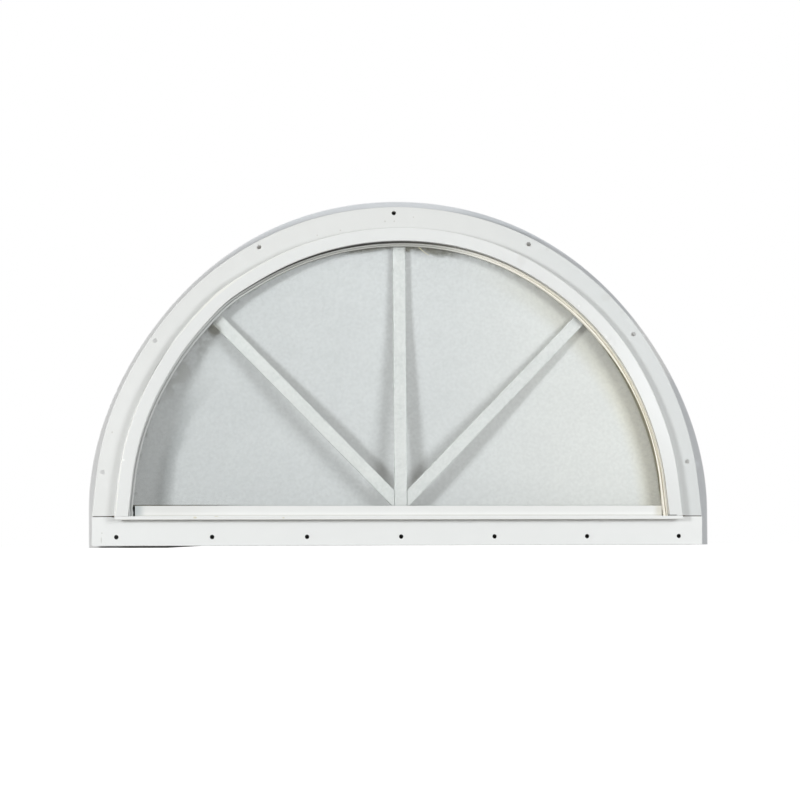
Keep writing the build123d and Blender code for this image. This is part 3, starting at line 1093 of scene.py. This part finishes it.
def wall_white():
    """White where the window shades it, with painted shade and shadow on it, plain background elsewhere,
    and not there from behind.
    """
    material, tree, surface = new_material("wall white")
    place = object_place(tree)
    x, _, z = axes(tree, place)
    across = maths(tree, "SUBTRACT", maths(tree, "MULTIPLY_ADD", z, SHADED_TILT, x), SHADED_CENTRE[0])
    up = maths(tree, "MAXIMUM", maths(tree, "SUBTRACT", z, SHADED_CENTRE[1]), 0.0)
    reach = vectors(tree, "LENGTH", add(tree, "ShaderNodeCombineXYZ", {0: across, 1: up}).outputs[0])
    turn = maths(tree, "ARCTAN2", up, across)
    for waves, amount in ((4, SHADED_WOBBLE), (6, SHADED_RIPPLE)):
        wave = maths(tree, "COSINE", maths(tree, "MULTIPLY", turn, waves))
        reach = maths(tree, "MULTIPLY_ADD", wave, -amount, reach)
    shaded = fade(tree, reach, SHADED_RADIUS + 0.7 * MM, SHADED_RADIUS - 0.7 * MM)
    hidden = both(
        tree,
        fade(tree, maths(tree, "ABSOLUTE", x), HIDDEN_SIDE, HIDDEN_SIDE - 8 * MM),
        fade(tree, z, HIDDEN_TOP, HIDDEN_TOP - 8 * MM),
    )
    # Painted shade: the sheet is made darker towards the left
    to_middle = fade(tree, x, -250 * MM, 0)
    left_half = mixed(tree, to_middle, colour(0.655, 0.66, 0.66), colour(0.72, 0.725, 0.725))
    white = mixed(tree, fade(tree, x, 0, 250 * MM), left_half, colour(0.84, 0.835, 0.81))
    # Painted shadow, ragged, widening the frame's shadow at the lower left
    ragged = maths(tree, "MULTIPLY_ADD", noise(tree, place, 30.0, 3.0), 14 * MM, reach)
    left_rim_shadow = both(
        tree,
        fade(tree, ragged, SHADED_RADIUS - 85 * MM, SHADED_RADIUS - 74 * MM),
        fade(tree, ragged, SHADED_RADIUS - 58 * MM, SHADED_RADIUS - 71 * MM),
        fade(tree, x, -160 * MM, -200 * MM),
        fade(tree, z, 150 * MM, 100 * MM),
        0.36,
    )
    white = mixed(tree, left_rim_shadow, white, colour(0.25, 0.26, 0.26))
    # Painted shade, warm, along the right rim, greyer higher up
    right_rim_shade = fade(tree, reach, SHADED_RADIUS - 82 * MM, SHADED_RADIUS - 62 * MM)
    high_up = fade(tree, z, 100 * MM, 200 * MM)
    rim_shade_tint = mixed(tree, high_up, colour(0.82, 0.78, 0.66), colour(0.64, 0.62, 0.55))
    white = mixed(tree, both(tree, right_rim_shade, fade(tree, x, 60 * MM, 200 * MM), 0.8), white, rim_shade_tint)
    # Painted shadow of the flange round the outside, lighter at the left, with a deeper and a lighter patch
    outside = fade(tree, reach, SHADED_RADIUS - 16 * MM, SHADED_RADIUS - 12 * MM)
    from_left = fade(tree, x, -280 * MM, -120 * MM)
    band = mixed(tree, from_left, colour(0.80, 0.80, 0.80), colour(0.60, 0.615, 0.635))
    band = mixed(tree, marks(tree, place, BAND_DEEPER_SHADE), band, colour(0.52, 0.54, 0.56))
    band = mixed(tree, marks(tree, place, BAND_LIGHTER_SHADE), band, colour(0.76, 0.76, 0.76))
    white = mixed(tree, outside, white, band)
    # Painted flat grey behind the flange, which sets the shade seen through the screw holes
    behind_flange = both(
        tree,
        fade(tree, reach, SHADED_RADIUS - 26 * MM, SHADED_RADIUS - 24 * MM),
        fade(tree, reach, SHADED_RADIUS - 8 * MM, SHADED_RADIUS - 9.5 * MM),
    )
    white = mixed(tree, behind_flange, white, colour(0.80, 0.80, 0.80))
    behind_crown = marks(tree, place, BEHIND_CROWN)
    low_down = fade(tree, z, -31 * MM, -35 * MM)
    unlit = mixed(tree, low_down, colour(0.03, 0.03, 0.03), colour(0.22, 0.22, 0.22))
    white = mixed(tree, maths(tree, "MAXIMUM", hidden, behind_crown), white, unlit)
    lit = add(tree, "ShaderNodeBsdfDiffuse", {"Color": white})
    plain = add(tree, "ShaderNodeEmission", {"Color": colour(1, 1, 1), "Strength": 1.0})
    front = add(tree, "ShaderNodeMixShader", {0: shaded, 1: plain.outputs[0], 2: lit.outputs[0]})
    gone = add(tree, "ShaderNodeBsdfTransparent")
    behind = add(tree, "ShaderNodeNewGeometry").outputs["Backfacing"]
    one_sided = add(tree, "ShaderNodeMixShader", {0: behind, 1: front.outputs[0], 2: gone.outputs[0]})
    tree.links.new(one_sided.outputs[0], surface)
    return material


def floor_white():
    """Pale floor that a camera sees as white where light falls on it."""
    material, tree, surface = new_material("floor white")
    x, y, _ = axes(tree, object_place(tree))
    in_front = fade(tree, y, 2 * MM, -6 * MM)
    to_sides = fade(tree, maths(tree, "ABSOLUTE", x), FLOOR_SHADE_SIDE - 3 * MM, FLOOR_SHADE_SIDE)
    open_floor = maths(tree, "MAXIMUM", in_front, to_sides)
    seen = add(tree, "ShaderNodeLightPath").outputs["Is Camera Ray"]
    lift = both(tree, open_floor, seen, 0.85)
    lit = add(tree, "ShaderNodeBsdfDiffuse", {"Color": colour(0.62, 0.62, 0.62)})
    glow = add(tree, "ShaderNodeEmission", {"Color": colour(1, 1, 1), "Strength": lift})
    sum_of_both = add(tree, "ShaderNodeAddShader", {0: lit.outputs[0], 1: glow.outputs[0]})
    tree.links.new(sum_of_both.outputs[0], surface)
    return material


wall_rows = [*np.linspace(WALL_BOTTOM, BODY_RADIUS, WALL_STEPS), WALL_TOP]
wall_columns = [-WALL_SIDE, *np.linspace(-BODY_RADIUS, 1.3 * BODY_RADIUS, WALL_STEPS), WALL_SIDE]
row_length = len(wall_columns)
wall_corners = [row * row_length + column for row in range(WALL_STEPS) for column in range(row_length - 1)]
wall = sheet_of(
    "leaning_wall",
    [(x, wall_depth(x, z), z) for z in wall_rows for x in wall_columns],
    [(i, i + 1, i + 1 + row_length, i + row_length) for i in wall_corners],
    wall_white(),
)
wall.data.shade_smooth()
wall.visible_diffuse = False
wall.visible_shadow = False
floor_line = (
    (-FLOOR_SIDE, FLOOR_HEIGHT - FLOOR_DIP),
    (DIP_START, FLOOR_HEIGHT - FLOOR_DIP),
    (DIP_END, FLOOR_HEIGHT),
    (FLOOR_SIDE, FLOOR_HEIGHT),
)
floor_length = len(floor_line)
sheet_of(
    "floor",
    [(x, y, z) for y in (-FLOOR_SIDE, FLOOR_SIDE) for x, z in floor_line],
    [(i, i + 1, i + 1 + floor_length, i + floor_length) for i in range(floor_length - 1)],
    floor_white(),
)


LAMP_AIM = Vector((0, 0, 150 * MM))
LAMP_COOL = (0.975, 1.0, 1.015)
SKY_WARM = colour(1.05, 1.0, 0.93)
SKY_LEVEL = 0.20
SKY_LEVEL_BEHIND = 0.45


def soft_lamp(name, azimuth, elevation, watts, size, distance=2.6):
    """A square soft lamp that faces the window. Azimuth is to the right of its front."""
    turn, rise = math.radians(azimuth), math.radians(elevation)
    way = Vector((math.sin(turn) * math.cos(rise), -math.cos(turn) * math.cos(rise), math.sin(rise)))
    light = bpy.data.lights.new(name, "AREA")
    light.energy = watts
    light.size = size
    light.color = LAMP_COOL
    lamp = put_in_scene(name, light)
    aim = way.to_track_quat("Z", "Y").to_matrix().to_4x4()
    lamp.matrix_world = Matrix.Translation(way * distance + LAMP_AIM) @ aim


soft_lamp("left lamp", -44.5, 4.8, 38, size=0.5)
soft_lamp("right lamp", 36, 8, 34, size=1.05)


def sky():
    """White to look at, with plain soft light from the front and a little more from behind."""
    world = bpy.data.worlds.new("sky")
    bpy.context.scene.world = world
    world.use_nodes = True
    tree = world.node_tree
    tree.nodes.clear()
    direction = add(tree, "ShaderNodeTexCoord").outputs["Generated"]
    y = axes(tree, direction)[1]
    ambient = maths(tree, "MULTIPLY_ADD", fade(tree, y, -0.1, 0.1), SKY_LEVEL_BEHIND - SKY_LEVEL, SKY_LEVEL)
    path = add(tree, "ShaderNodeLightPath").outputs
    seen = maths(tree, "MAXIMUM", path["Is Camera Ray"], path["Is Glossy Ray"])
    seen = maths(tree, "MAXIMUM", seen, path["Is Transmission Ray"])
    strength = blended(tree, seen, ambient, 1.0)
    tint = mixed(tree, seen, SKY_WARM, colour(1, 1, 1))
    background = add(tree, "ShaderNodeBackground", {"Color": tint, "Strength": strength})
    out = add(tree, "ShaderNodeOutputWorld")
    tree.links.new(background.outputs[0], out.inputs["Surface"])


sky()

# Camera
CAMERA_LENS = 126.526
CAMERA_SENSOR = 36
CAMERA_PLACE = (-0.3955, -3.0, -0.0237)
CAMERA_TURN = (92.7128, 0.116, -7.4878)
view = bpy.data.cameras.new("camera")
view.lens = CAMERA_LENS
view.sensor_width = CAMERA_SENSOR
camera = put_in_scene("camera", view)
camera.location = CAMERA_PLACE
camera.rotation_euler = [math.radians(turn) for turn in CAMERA_TURN]
bpy.context.scene.camera = camera
bpy.context.scene.view_settings.view_transform = "Standard"
